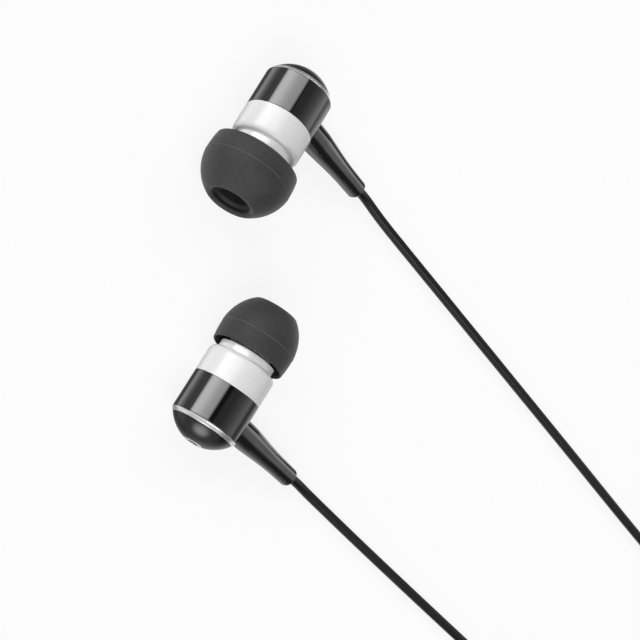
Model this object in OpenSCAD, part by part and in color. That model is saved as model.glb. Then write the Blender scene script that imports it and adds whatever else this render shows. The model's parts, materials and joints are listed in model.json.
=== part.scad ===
// A pair of wired in-ear earphones: barrel housings with a pearl front shell and a
// chrome neck, silicone ear tips, dynamic drivers, moulded stems, two ear leads,
// a splitter, the main cord and a 3.5 mm plug. Millimetres, +Z up.

/* [Housing] */
// Outer diameter of the barrel and the front shell
barrel_d = 10; // [9.8:0.1:11]
// Length of the glossy barrel
barrel_len = 5.75; // [5.6:0.05:7.5]
// Length of the pearl front shell
shell_len = 4.25; // [4.1:0.05:5.5]
// Wall of the barrel and the front shell
wall = 0.45; // [0.35:0.05:0.5]
// Length of the rounded front shoulder of the shell
shoulder_len = 0.85; // [0.6:0.05:1]
// Length of the trim ring between the barrel and the rear cap
ring_len = 0.6; // [0.4:0.05:0.9]
// How far the trim ring draws in over its length
ring_taper = 0.35; // [0.2:0.05:0.5]
// Height of the domed rear cap above the trim ring
dome_rise = 2; // [1.2:0.05:2.4]
// Diameter of the chrome vent eyelet on the rear cap
eyelet_d = 2.8; // [2.4:0.1:3.4]
// Diameter of the vent hole through the eyelet
vent_d = 1.5; // [0.8:0.1:1.6]

/* [Neck and nozzle] */
// Diameter of the chrome neck
neck_d = 8.6; // [8:0.1:8.7]
// Length of the neck in front of the shell
neck_len = 2; // [1.2:0.1:3]
// Outer diameter of the nozzle tube
nozzle_d = 4.7; // [4.4:0.1:4.8]
// Length of the nozzle tube in front of the neck
nozzle_len = 4; // [3.5:0.1:4.6]
// Diameter of the sound bore through the nozzle
sound_bore_d = 3.8; // [3:0.1:3.9]
// Diameter of the barb that the ear tip seats over
barb_d = 5.2; // [5:0.05:5.3]

/* [Ear tips] */
// Largest diameter of the left ear tip
left_tip_d = 13; // [11:0.1:14]
// Largest diameter of the right ear tip, one size smaller
right_tip_d = 11.1; // [11:0.1:14]
// Length of the ear tips from rim to nose
tip_len = 7.6; // [7.4:0.1:9]
// Distance from the rim to the widest place of the skirt
tip_widest = 2.3; // [1.8:0.1:2.8]
// How far the left skirt covers the front of the neck
left_skirt_cover = 0.45; // [0:0.05:1]
// How far the right skirt covers the front of the neck
right_skirt_cover = 1; // [0:0.05:1]
// Thickness of the skirt
skirt_wall = 0.6; // [0.4:0.05:0.8]
// Thickness of the core tube round the nozzle
core_wall = 0.75; // [0.6:0.05:0.85]
// Outer diameter of the left tip's flat nose round the sound hole
left_nose_d = 7; // [6.6:0.1:7.4]
// Outer diameter of the right tip's flat nose round the sound hole
right_nose_d = 6.2; // [6.2:0.1:7.4]
// Width of the rolled lip between the nose and the sound hole
nose_lip = 0.8; // [0.5:0.05:0.8]

/* [Driver] */
// Diameter of the steel yoke of the driver
yoke_d = 7; // [6.6:0.1:7.1]
// Depth of the yoke
yoke_depth = 2.3; // [2.1:0.05:2.6]
// Diameter of the magnet
magnet_d = 4.6; // [4:0.1:4.8]
// Outer diameter of the voice coil
voice_coil_d = 5.6; // [5.5:0.05:5.7]
// Free travel of the diaphragm each way
travel = 0.15; // [0.05:0.01:0.18]

/* [Stem and cord] */
// Place of the stem along the barrel, from its rear edge
stem_place = 2.8; // [2.75:0.05:3.1]
// How far the stem leans back from a right angle to the barrel, in degrees
stem_lean = 2.3; // [0:0.1:3]
// Distance from the barrel's axis to the far end of the stem
stem_reach = 19.4; // [15:0.1:22]
// Width of the stem where it leaves the barrel
stem_root_w = 3.8; // [3.2:0.1:4.3]
// Width of the stem at its far end
stem_end_w = 2.65; // [2.3:0.05:3]
// Diameter of the cord
cord_d = 1.4; // [1.2:0.1:1.5]

/* [Splitter and plug] */
// Length of the splitter
splitter_len = 11; // [9:0.5:12]
// Width of the splitter where the two ear leads enter
splitter_w = 4.6; // [4.2:0.1:5.5]
// Height of the splitter
splitter_h = 3.2; // [2.8:0.1:4]
// Diameter of the plug's pin
pin_d = 3.5; // [3.5:0.1:3.5]
// Length of the plug's pin
pin_len = 14; // [13.5:0.5:15]
// Diameter of the plug's grip
grip_d = 6.2; // [5.6:0.1:8]
// Length of the plug's grip
grip_len = 18; // [14:1:24]
// Length of the bend relief behind the grip
relief_len = 8; // [6:1:12]

/* [Hidden] */
$fn = 96;
SIDES = ["left", "right"];
SIDE_PARTS = [
    "ear_tip", "nozzle_mesh", "neck", "front_shell", "driver_cover", "diaphragm", "voice_coil",
    "driver_basket", "pole_plate", "magnet", "yoke", "terminal_board", "solder_wires",
    "barrel", "trim_ring", "rear_cap", "vent_eyelet", "vent_damper", "stem", "cable_end"
];
CORD_PARTS = [
    "left_lead", "left_lead_coil", "left_lead_end", "right_lead", "right_lead_coil",
    "right_lead_end", "splitter", "main_cord", "main_cord_coil", "main_cord_end",
    "plug_relief", "plug_grip", "plug_sleeve", "plug_insulators", "plug_ring", "plug_tip"
];

// Clearance of a push fit, on the radius
fit = 0.03;
// Running clearance of the ear tip over the barb, on the radius
tip_fit = 0.05;
// Gap that keeps stacked pieces from sharing a face
seat = 0.02;

// Radii of the housing, from the outside in
barrel_r = barrel_d / 2;
bore_r = barrel_r - wall;
inner_r = bore_r - fit;
neck_r = neck_d / 2;
cord_r = cord_d / 2;

// Places along an earphone's axis, from the barrel's rear edge towards the nozzle
shell_front = barrel_len + shell_len;
spigot_len = 0.9;
lip_len = 0.4;
lip_back = shell_front - 1.6;
cover_t = 0.3;
cover_back = lip_back - seat - cover_t;
basket_back = barrel_len + spigot_len + seat;
basket_front = cover_back - seat;
neck_front = shell_front + neck_len;
nozzle_front = neck_front + nozzle_len;
groove_len = 0.3;
groove_depth = 0.18;
ring_spigot = 0.9;
ring_bore_r = inner_r - 0.42;

// Rear cap: a spherical dome from the trim ring to the flat under the eyelet
dome_base_r = barrel_r - ring_taper - 0.05;
dome_flat_r = eyelet_d / 2;
dome_wall = 0.5;
dome_centre = (dome_base_r * dome_base_r - dome_flat_r * dome_flat_r - dome_rise * dome_rise)
    / (2 * dome_rise);
dome_r = sqrt(dome_base_r * dome_base_r + dome_centre * dome_centre);
dome_top = ring_len + dome_rise;
eyelet_t = 0.2;
eyelet_tube = 0.95;
eyelet_wall = 0.2;
damper_t = 0.25;
damper_r = 1.25;

// Driver stack
yoke_r = yoke_d / 2;
yoke_wall = 0.5;
yoke_floor = 0.4;
yoke_front = basket_back + 0.55;
yoke_back = yoke_front - yoke_depth;
plate_t = 0.5;
plate_front = yoke_front - 0.1;
plate_r = magnet_d / 2 + 0.05;
coil_r = voice_coil_d / 2;
coil_wall = 0.2;
ledge_t = 0.55;
recess_r = inner_r - 0.55;
diaphragm_t = 0.12;
diaphragm_back = yoke_front + travel + 0.12;
diaphragm_dome = 0.14;
coil_len = 1.2;
board_t = 0.3;
board_r = 2.5;
wire_r = 0.12;

// Ear tip, from the rim towards the nose
rim_places = [neck_front - left_skirt_cover, neck_front - right_skirt_cover];
tip_bore_r = barb_d / 2 + tip_fit;
core_r = tip_bore_r + core_wall;
throat_r = tip_bore_r - 0.35;
lip_r = 0.45;
skirt_rear_depth = 6.5;
rim_round = 0.28;

// How the pair lies: place of each barrel's rear edge on the ground plan, the
// bearing of each nozzle, and the side of the nozzle on which the stem leaves
spots = [[-25.18, -1.8], [21.51, -6.2]];
bearings = [-27.3, 156.4];
turns = [1, -1];
tip_ds = [left_tip_d, right_tip_d];
nose_ds = [left_nose_d, right_nose_d];

// Length of the front half of a tip's dome if it ran on to a point
function tip_front_depth(s) =
    (tip_len - tip_widest) / sqrt(1 - pow(nose_ds[s] / tip_ds[s], 2));
// Slope at which an earphone rests on its barrel's rear edge and its tip's skirt
function rest_tilt(s, b = 4, n = 8) =
    n == 0 ? b : rest_tilt(s, asin((norm([tip_ds[s] / 2 * cos(b), skirt_rear_depth * sin(b)])
        - barrel_r * cos(b)) / (rim_places[s] + tip_widest)), n - 1);
tilts = [rest_tilt(0), rest_tilt(1)];
heights = [for (s = [0, 1]) barrel_r * cos(tilts[s])];
// Slope of each stem, whose far end lies on the same surface
drops = [for (s = [0, 1])
    asin((heights[s] + (stem_place - stem_reach * sin(stem_lean)) * sin(tilts[s]) - stem_end_w / 2 - 0.05)
        / (stem_reach * cos(stem_lean) * cos(tilts[s])))];

function nozzle_dir(s) =
    [cos(tilts[s]) * cos(bearings[s]), cos(tilts[s]) * sin(bearings[s]), sin(tilts[s])];
function down_dir(s) =
    [sin(tilts[s]) * cos(bearings[s]), sin(tilts[s]) * sin(bearings[s]), -cos(tilts[s])];
function side_dir(s) = turns[s] * [-sin(bearings[s]), cos(bearings[s]), 0];
function stem_dir(s) = cos(stem_lean) * (sin(drops[s]) * down_dir(s) + cos(drops[s]) * side_dir(s))
    - sin(stem_lean) * nozzle_dir(s);
function stem_end(s) = [spots[s][0], spots[s][1], heights[s]]
    + stem_place * nozzle_dir(s) + stem_reach * stem_dir(s);

// Moves an earphone's own frame (axis +Z, nozzle upwards) to where it lies
module lay(s) {
    translate([spots[s][0], spots[s][1], heights[s]])
        rotate([0, 90 - tilts[s], bearings[s]]) children();
}
// Turns +X of an earphone's own frame to the side of its stem
module on_stem_side(s) {
    rotate([0, 0, turns[s] * (90 - drops[s])]) translate([0, 0, stem_place]) children();
}
// Turns +X of an earphone's own frame into the direction of its stem
module towards_stem(s) {
    on_stem_side(s) rotate([0, stem_lean, 0]) children();
}

// ---------------------------------------------------------------- housing

module front_shell() {
    hole_r = neck_r + fit;
    shoulder = [for (a = [0:15:90])
        [barrel_r - (barrel_r - hole_r - 0.1) * (1 - cos(a)),
         shell_front - shoulder_len + shoulder_len * sin(a)]];
    color("gainsboro") rotate_extrude()
        polygon(concat([[bore_r, barrel_len + seat], [barrel_r, barrel_len + seat]], shoulder,
            [[hole_r, shell_front], [hole_r, lip_back + lip_len + seat],
             [bore_r, lip_back + lip_len + seat]]));
}

module barrel(s) {
    spigot_r = bore_r - fit;
    color([0.04, 0.04, 0.045]) difference() {
        rotate_extrude() polygon([
            [bore_r, 0], [barrel_r, 0], [barrel_r, barrel_len], [spigot_r, barrel_len],
            [spigot_r, barrel_len + spigot_len], [spigot_r - wall, barrel_len + spigot_len],
            [spigot_r - wall, barrel_len - 0.4], [bore_r, barrel_len - 0.8]]);
        towards_stem(s) rotate([0, 90, 0]) cylinder(r = stem_neck_r + fit, h = barrel_r + 1);
    }
}

module trim_ring() {
    edge = [for (a = [0:15:90])
        [barrel_r - 0.02 - ring_taper * (1 - cos(a)), -0.1 - (ring_len - 0.1) * sin(a)]];
    color("silver") rotate_extrude()
        polygon(concat([[ring_bore_r, -ring_len], [ring_bore_r, ring_spigot],
            [inner_r, ring_spigot], [inner_r, -seat], [barrel_r - 0.02, -seat]], edge));
}

module rear_cap() {
    spigot_r = ring_bore_r - fit;
    top_angle = asin(dome_flat_r / dome_r);
    base_angle = asin(dome_base_r / dome_r);
    inside_r = dome_r - dome_wall;
    inside_base = asin((spigot_r - dome_wall) / inside_r);
    inside_top = asin((vent_d / 2 + eyelet_wall + fit) / inside_r);
    steps = 8;
    outside = [for (i = [0:steps]) let(a = base_angle + (top_angle - base_angle) * i / steps)
        [dome_r * sin(a), -ring_len - seat + dome_centre - dome_r * cos(a)]];
    inside = [for (i = [0:steps]) let(a = inside_top + (inside_base - inside_top) * i / steps)
        [inside_r * sin(a), -ring_len - seat + dome_centre - inside_r * cos(a)]];
    hole_r = vent_d / 2 + eyelet_wall + fit;
    color([0.2, 0.2, 0.21]) rotate_extrude()
        polygon(concat(outside, [[hole_r, -dome_top - seat]], inside,
            [[spigot_r - dome_wall, 0.3], [spigot_r, 0.3], [spigot_r, -ring_len - seat]]));
}

module vent_eyelet() {
    face = -dome_top - 2 * seat;
    color("silver") rotate_extrude() polygon([
        [vent_d / 2, face + eyelet_tube], [vent_d / 2, face - 0.05],
        [vent_d / 2 + 0.12, face - eyelet_t], [dome_flat_r - 0.15, face - eyelet_t],
        [dome_flat_r, face - 0.07], [dome_flat_r, face],
        [vent_d / 2 + eyelet_wall, face], [vent_d / 2 + eyelet_wall, face + eyelet_tube]]);
}

module vent_damper() {
    color("dimgray") translate([0, 0, -dome_top - seat + eyelet_tube]) cylinder(r = damper_r, h = damper_t);
}

// ---------------------------------------------------------------- neck and nozzle

module neck() {
    nozzle_r = nozzle_d / 2;
    bore = sound_bore_d / 2;
    barb = barb_d / 2;
    mesh_seat = 0.3;
    color("silver") rotate_extrude() polygon([
        [bore + 1.2, lip_back], [inner_r, lip_back], [inner_r, lip_back + lip_len],
        [neck_r, lip_back + lip_len], [neck_r, shell_front - 0.1],
        [neck_r - groove_depth, shell_front], [neck_r - groove_depth, shell_front + groove_len - 0.1],
        [neck_r - 0.08, shell_front + groove_len], [neck_r, shell_front + groove_len + 0.1],
        [neck_r, neck_front - 0.15], [neck_r - 0.15, neck_front], [nozzle_r, neck_front],
        [nozzle_r, nozzle_front - 1.1], [barb, nozzle_front - 0.8], [barb, nozzle_front - 0.5],
        [nozzle_r - 0.1, nozzle_front], [bore + 0.15, nozzle_front],
        [bore + 0.15, nozzle_front - mesh_seat], [bore, nozzle_front - mesh_seat],
        [bore, neck_front]]);
}

module nozzle_mesh() {
    disc_r = sound_bore_d / 2 + 0.13;
    step = 0.62;
    color("gray") translate([0, 0, nozzle_front - 0.28]) linear_extrude(0.15) difference() {
        circle(r = disc_r);
        for (row = [-2:2], column = [-2:2])
            if (abs(row + column) < 3)
                translate([step * (column + row / 2), step * row * sin(60)]) circle(r = 0.2, $fn = 16);
    }
}

// ---------------------------------------------------------------- ear tip

module ear_tip(s) {
    wide_r = tip_ds[s] / 2;
    depth = tip_front_depth(s);
    rim_place = rim_places[s];
    widest_place = rim_place + tip_widest;
    nose_place = rim_place + tip_len;
    nose_r = nose_ds[s] / 2;
    mouth_r = nose_r - nose_lip;
    nose_angle = acos((nose_place - lip_r - widest_place) / depth);
    rim_angle = -asin((tip_widest - rim_round) / skirt_rear_depth);
    roof = nose_place - 2.1;
    inside_wide = wide_r - skirt_wall;
    inside_depth = depth - skirt_wall;
    roof_r = inside_wide * sqrt(1 - pow((roof - 0.4 - widest_place) / inside_depth, 2));
    front = [for (i = [0:12]) let(a = i / 12 * (90 - nose_angle))
        [wide_r * cos(a), widest_place + depth * sin(a)]];
    rear = [for (i = [0:4]) let(a = rim_angle * (1 - i / 4))
        [wide_r * cos(a), widest_place + skirt_rear_depth * sin(a)]];
    lip = [for (a = [25:26:181])
        [(nose_r + mouth_r) / 2 + (nose_r - mouth_r) / 2 * cos(a), nose_place - lip_r + lip_r * sin(a)]];
    skirt_inside = [for (i = [0:7])
        let(z = rim_place + rim_round + (roof - 0.4 - rim_place - rim_round) * i / 7,
            bend = (z - widest_place) / (z > widest_place ? inside_depth : skirt_rear_depth))
        [inside_wide * sqrt(1 - bend * bend), z]];
    rim_r = rear[0][0];
    color([0.28, 0.28, 0.28]) rotate_extrude() polygon(concat(
        [[rim_r - 0.06, rim_place + 0.1], [rim_r - 0.2, rim_place],
         [skirt_inside[0][0] + 0.12, rim_place]],
        skirt_inside,
        [[roof_r - 0.4, roof], [core_r + 0.3, roof], [core_r, roof - 0.3],
         [core_r, neck_front + 0.3], [core_r - 0.2, neck_front + seat],
         [tip_bore_r, neck_front + seat],
         [tip_bore_r, nozzle_front + seat], [throat_r, nozzle_front + seat + 0.3],
         [throat_r, nose_place - 1.6], [mouth_r, nose_place - lip_r]],
        [for (i = [len(lip) - 1:-1:0]) lip[i]],
        [for (i = [12:-1:0]) front[i]],
        [for (i = [3:-1:0]) rear[i]]));
}

// ---------------------------------------------------------------- driver

module driver_cover() {
    color("darkgray") translate([0, 0, cover_back]) linear_extrude(cover_t) difference() {
        circle(r = inner_r);
        circle(r = 0.6);
        for (a = [0:60:359]) rotate(a) translate([2, 0]) circle(r = 0.6);
    }
}

module driver_basket() {
    color([0.1, 0.1, 0.1]) rotate_extrude() polygon([
        [yoke_r + fit, basket_back], [inner_r, basket_back], [inner_r, basket_front],
        [recess_r, basket_front], [recess_r, basket_back + ledge_t],
        [yoke_r + fit, basket_back + ledge_t]]);
}

module yoke() {
    color("slategray") translate([0, 0, yoke_back]) difference() {
        cylinder(r = yoke_r, h = yoke_depth);
        translate([0, 0, yoke_floor]) cylinder(r = yoke_r - yoke_wall, h = yoke_depth);
    }
}

module magnet() {
    back = yoke_back + yoke_floor + seat;
    color("dimgray") translate([0, 0, back])
        cylinder(r = magnet_d / 2, h = plate_front - plate_t - seat - back);
}

module pole_plate() {
    color("slategray") translate([0, 0, plate_front - plate_t]) cylinder(r = plate_r, h = plate_t);
}

module voice_coil() {
    color("peru") translate([0, 0, diaphragm_back - coil_len]) difference() {
        cylinder(r = coil_r, h = coil_len);
        translate([0, 0, -1]) cylinder(r = coil_r - coil_wall, h = coil_len + 2);
    }
}

module diaphragm() {
    edge_r = recess_r - 0.08;
    roll_r = (coil_r + edge_r) / 2;
    roll = 0.1;
    color("lightsteelblue") rotate_extrude() polygon(concat(
        [[0, diaphragm_back + diaphragm_dome], [coil_r - coil_wall, diaphragm_back + seat],
         [coil_r, diaphragm_back + seat], [roll_r, diaphragm_back + roll],
         [edge_r, diaphragm_back + seat], [edge_r, diaphragm_back + seat + diaphragm_t],
         [roll_r, diaphragm_back + roll + diaphragm_t],
         [coil_r, diaphragm_back + seat + diaphragm_t],
         [0, diaphragm_back + diaphragm_dome + diaphragm_t]]));
}

module terminal_board() {
    color("darkgreen") translate([0, 0, yoke_back - seat - board_t]) cylinder(r = board_r, h = board_t);
}

// A straight round rod between two points
module rod(from, to, r) {
    d = to - from;
    translate(from) rotate([0, acos(d[2] / norm(d)), atan2(d[1], d[0])])
        cylinder(r = r, h = norm(d), $fn = 16);
}

module solder_wires(s) {
    pad_z = yoke_back - seat - board_t - stem_place;
    color("orangered") on_stem_side(s) for (side = [-1, 1]) {
        rod([knot_inner - 0.1, side * 0.4, 0], [1.2, side * 0.9, pad_z - 0.2], wire_r);
        translate([1.2, side * 0.9, pad_z - 0.25]) cylinder(r = 0.3, h = 0.25, $fn = 24);
    }
}

// ---------------------------------------------------------------- stem and cable end

stem_neck_r = 1.25;
stem_flange_r = 1.6;
stem_flange_t = 0.5;
stem_flange_top = sqrt(bore_r * bore_r - stem_flange_r * stem_flange_r) - 0.05;
knot_r = 0.4;
knot_top = stem_flange_top - stem_flange_t - seat;
knot_inner = knot_top - 2 * knot_r - 0.2;
// Share of the flare that is left at each place along the stem, root to end
STEM_FLARE = [[-0.1, 1], [0, 1], [0.22, 0.97], [0.35, 0.72], [0.48, 0.44], [0.74, 0.07], [0.965, 0],
    [1, -0.35]];

// One ring of the stem: a rounded square across the +X direction
stem_sides = 32;
function stem_ring(place, flare) =
    let(w = stem_end_w + (stem_root_w - stem_end_w) * flare, round_r = 0.34 * w,
        flat = w / 2 - round_r, n = stem_sides / 4)
    [for (q = [0:3], k = [0:n - 1]) let(a = 90 * (q + k / (n - 1)))
        [barrel_r + (stem_reach - barrel_r) * place,
            (q == 0 || q == 3 ? -flat : flat) - round_r * cos(a),
            (q < 2 ? flat : -flat) + round_r * sin(a)]];

module stem(s) {
    color([0.05, 0.05, 0.05]) towards_stem(s) difference() {
        union() {
            difference() {
                skin([for (f = STEM_FLARE) each stem_ring(f[0], f[1])], stem_sides);
                rotate([0, -stem_lean, 0]) translate([0, 0, -barrel_len])
                    cylinder(r = barrel_r + seat, h = 2 * barrel_len, $fn = 128);
            }
            translate([stem_flange_top - 0.2, 0, 0]) rotate([0, 90, 0])
                cylinder(r = stem_neck_r, h = barrel_r - stem_flange_top + 1);
            translate([stem_flange_top - stem_flange_t, 0, 0]) rotate([0, 90, 0])
                cylinder(r = stem_flange_r, h = stem_flange_t);
        }
        rotate([0, 90, 0]) cylinder(r = cord_r + fit, h = stem_reach + 1);
    }
}

module cable_end(s) {
    color([0.03, 0.03, 0.03]) towards_stem(s) rotate([0, 90, 0]) {
        translate([0, 0, knot_inner]) cylinder(r = cord_r, h = stem_reach - knot_inner);
        translate([0, 0, knot_top - knot_r]) rotate_extrude()
            translate([cord_r + 0.25, 0]) circle(r = knot_r, $fn = 32);
    }
}

// ---------------------------------------------------------------- cord routes

// Centre distance of neighbouring turns in a coil, which leaves 0.45 mm between them
turn_pitch = cord_d + 0.45;
rings_per_turn = 24;
coil_sides = 6;
tube_sides = 8;
straight_end = 1.5;

// Each coil: centre, middle radius, turns, layers, bearing of its start, sense
left_coil = [[27.62, 99.26], 7.55, 5 + 1 / 24, 2, -32.3, 1];
right_coil = [[62.32, 54.86], 7.95, 5 + 1 / 24, 2, 151, -1];
main_coil = [[71.42, 87.26], 7.85, 16.25, 4, 90, -1];

function layer_turns(c) = c[2] / c[3];
function coil_out_r(c) = c[1] + turn_pitch * layer_turns(c) / 2;
function ramp(t) = let(u = max(0, min(1, t))) u * u * (3 - 2 * u);
function coil_radius(c, k) =
    let(i = floor(k / layer_turns(c)), f = k / layer_turns(c) - i, g = i % 2 == 0 ? f : 1 - f)
    coil_out_r(c) - turn_pitch * layer_turns(c) * g;
function coil_height(c, k, layer = 1) =
    layer >= c[3] ? cord_r
    : turn_pitch * ramp((k - layer * layer_turns(c)) * 2 + 0.5) + coil_height(c, k, layer + 1);
function coil_point(c, k) = let(a = c[4] + c[5] * 360 * k, r = coil_radius(c, k))
    [c[0][0] + r * cos(a), c[0][1] + r * sin(a), coil_height(c, k)];
function coil_heading(c, k) = let(a = c[4] + c[5] * 360 * k) c[5] * [-sin(a), cos(a), 0];
function coil_start(c) = coil_point(c, 0) - straight_end * coil_heading(c, 0);
function coil_end(c) = coil_point(c, c[2] - 0.0001) + straight_end * coil_heading(c, c[2]);
function coil_path(c) = concat([coil_start(c)],
    [for (i = [0:floor(c[2] * rings_per_turn + 0.01)])
        coil_point(c, min(i / rings_per_turn, c[2] - 0.0001))],
    [coil_end(c)]);

function on_floor(points) = [for (p = points) [p[0], p[1], cord_r]];
function from_stem(s) = [stem_end(s), stem_end(s) + 2.4 * stem_dir(s)];
function into_coil(c) = [coil_start(c) - 4 * coil_heading(c, 0), coil_start(c)];
function out_of_coil(c) = [coil_end(c), coil_end(c) + 1.5 * coil_heading(c, c[2])];

splitter_back = [50.92, 98.86, splitter_h / 2];
splitter_front = splitter_back + [splitter_len, 0, 0];
lead_gap = [0, cord_d / 2 + 0.2, 0];
plug_top = [82.42, 70.86, grip_d / 2];

left_lead_route = concat(from_stem(0),
    on_floor([[-9.78, 21.26], [-0.58, 35.86], [8.62, 50.46], [17.82, 65.06], [26.82, 79.26]]),
    into_coil(left_coil));
left_end_route = concat(out_of_coil(left_coil),
    [[39.62, 100.96, 1.8], [43.02, 101.16, 0.8], [46.62, 100.16, 1.1]],
    [splitter_back + lead_gap - [2, 0, 0], splitter_back + lead_gap]);
right_lead_route = concat(from_stem(1),
    on_floor([[29.92, 17.36], [34.82, 26.06], [40.12, 35.66], [45.42, 45.36]]),
    into_coil(right_coil));
right_end_route = concat(out_of_coil(right_coil),
    [[58.22, 66.96, 1.6], [57.82, 71.36, 0.8], [55.02, 77.96, 0.7], [51.32, 84.96, 0.7], [48.02, 90.76, 0.7],
     [47.12, 94.96, 0.8]],
    [splitter_back - lead_gap - [2, 0, 0], splitter_back - lead_gap]);
main_route = concat([splitter_front, splitter_front + [2, 0, 0]], into_coil(main_coil));
main_end_route = concat(out_of_coil(main_coil),
    [[82.92, 79.56, 5], [82.52, 75.36, 3.7]], [plug_top + [0, 2, 0], plug_top]);

// A curve through all the points, with the given number of steps between each two
function between(a, b, c, d, t) = b + t / 2 * ((c - a) + t * (2 * a - 5 * b + 4 * c - d
    + t * (3 * b - a - 3 * c + d)));
function curve(p, steps) = let(last = len(p) - 1) concat(
    [for (i = [0:last - 1], k = [0:steps - 1]) between(
        i > 0 ? p[i - 1] : 2 * p[0] - p[1], p[i], p[i + 1],
        i < last - 1 ? p[i + 2] : 2 * p[last] - p[last - 1], k / steps)],
    [p[last]]);

function unit(v) = v / norm(v);
function path_length(p, i = 0) =
    i > len(p) - 2 ? 0 : norm(p[i + 1] - p[i]) + path_length(p, i + 1);
// The least distance between the surfaces of two turns
function least_gap(p) = min([for (i = [0:len(p) - 1], j = [i + 14:1:len(p) - 1])
    norm(p[i] - p[j])]) - cord_d;

// A closed solid through rings of points with flat ends, all its faces triangles
module skin(points, sides) {
    last = len(points) / sides - 1;
    walls = [for (i = [0:last - 1], k = [0:sides - 1])
        let(a = i * sides + k, b = i * sides + (k + 1) % sides, c = a + sides, d = b + sides)
        each [[a, b, c], [b, d, c]]];
    near_end = [for (k = [1:sides - 2]) [0, k + 1, k]];
    far_end = [for (k = [1:sides - 2]) [last * sides, last * sides + k, last * sides + k + 1]];
    polyhedron(points = points, faces = concat(walls, near_end, far_end));
}

// A round tube with flat ends that follows the points
module tube(p, r, sides) {
    last = len(p) - 1;
    skin([for (i = [0:last])
        let(t = unit(p[min(i + 1, last)] - p[max(i - 1, 0)]),
            side = unit(cross(t, [0, 0, 1])), up = cross(side, t))
        for (k = [0:sides - 1]) let(a = 360 * k / sides - 90)
            p[i] + r * (cos(a) * side + sin(a) * up)], sides);
}

module coil(c, label) {
    path = coil_path(c);
    echo(str(label, ": length ", path_length(path), ", least gap ", least_gap(path)));
    color([0.05, 0.05, 0.05]) tube(path, cord_r, coil_sides);
}
module stretch(route, steps, label) {
    path = [for (p = curve(route, steps)) [p[0], p[1], max(p[2], cord_r)]];
    echo(str(label, ": length ", path_length(path), ", rings ", len(path)));
    color([0.05, 0.05, 0.05]) tube(path, cord_r, tube_sides);
}

// ---------------------------------------------------------------- splitter

module splitter_slice(x, w, h) {
    round_r = 0.45 * h;
    translate([x, 0, h / 2]) rotate([90, 0, 90]) linear_extrude(0.02)
        offset(r = round_r, $fn = 32) square([w - 2 * round_r, h - 2 * round_r], center = true);
}
module splitter() {
    end_h = cord_d + 1.1;
    lift = splitter_h / 2 - end_h / 2;
    color([0.05, 0.05, 0.05]) translate([splitter_back[0], splitter_back[1], 0]) {
        hull() {
            translate([0, 0, 0.25]) splitter_slice(0, splitter_w - 0.5, splitter_h - 0.5);
            splitter_slice(0.35, splitter_w, splitter_h);
            splitter_slice(splitter_len * 0.45, splitter_w - 0.3, splitter_h);
        }
        hull() {
            splitter_slice(splitter_len * 0.45, splitter_w - 0.3, splitter_h);
            translate([0, 0, lift]) splitter_slice(splitter_len - 0.32, end_h + 0.2, end_h);
            translate([0, 0, lift + 0.2]) splitter_slice(splitter_len - 0.02, end_h - 0.3, end_h - 0.4);
        }
    }
}

// ---------------------------------------------------------------- plug

// The plug's own frame: +Z from the cord's entry towards the pin's tip
module lay_plug() {
    translate(plug_top) rotate([90, 0, 0]) children();
}
module plug_relief() {
    root_r = grip_d / 2 - 0.9;
    end_r = cord_r + 0.6;
    ribs = 4;
    rib = relief_len / ribs;
    color([0.05, 0.05, 0.05]) lay_plug() rotate_extrude() polygon(concat([[0, 0]],
        [for (i = [0:ribs - 1]) let(r = end_r + (root_r - end_r) * i / (ribs - 1))
            each [[r - 0.1, i * rib + 0.02], [r, i * rib + 0.2], [r, (i + 1) * rib - 0.5],
                  [r - 0.3, (i + 1) * rib - 0.35], [r - 0.3, (i + 1) * rib]]],
        [[0, relief_len]]));
}
module plug_grip() {
    r = grip_d / 2;
    waist = 0.35;
    middle = relief_len + grip_len / 2;
    sides = [for (i = [0:8]) let(t = i / 8)
        [r - waist * sin(180 * t), relief_len + 1.2 + (grip_len - 2.4) * t]];
    color([0.05, 0.05, 0.05]) lay_plug() rotate_extrude() polygon(concat(
        [[0, relief_len + seat], [r - 0.9, relief_len + seat], [r - 0.25, relief_len + 0.4]],
        sides,
        [[r - 0.25, relief_len + grip_len - 0.4], [r - 0.9, relief_len + grip_len],
         [0, relief_len + grip_len]]));
}

// Places along the plug's pin, from its tip back to the grip
tip_part = 3.4;
insulator_part = 0.6;
ring_part = 2.4;
collar_part = 0.8;
pin_r = pin_d / 2;
pin_root = relief_len + grip_len + seat;
pin_end = pin_root + pin_len;
core_pin_r = 0.7;

module plug_sleeve() {
    front = pin_end - tip_part - ring_part - 2 * insulator_part;
    color("silver") lay_plug() difference() {
        rotate_extrude() polygon([[0, pin_root], [pin_r + 0.5, pin_root],
            [pin_r + 0.5, pin_root + collar_part - 0.1], [pin_r + 0.4, pin_root + collar_part],
            [pin_r, pin_root + collar_part], [pin_r, front], [0, front]]);
        translate([0, 0, front - 3]) cylinder(r = core_pin_r + fit, h = 4);
    }
}
module plug_ring() {
    back = pin_end - tip_part - insulator_part - ring_part;
    color("silver") lay_plug() translate([0, 0, back]) difference() {
        cylinder(r = pin_r, h = ring_part);
        translate([0, 0, -1]) cylinder(r = core_pin_r + fit, h = ring_part + 2);
    }
}
module plug_insulators() {
    color([0.04, 0.04, 0.04]) lay_plug()
        for (back = [pin_end - tip_part - insulator_part,
                     pin_end - tip_part - ring_part - 2 * insulator_part])
            translate([0, 0, back + 0.005]) difference() {
                cylinder(r = pin_r, h = insulator_part - 0.01);
                translate([0, 0, -1]) cylinder(r = core_pin_r + fit, h = insulator_part + 2);
            }
}
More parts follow.
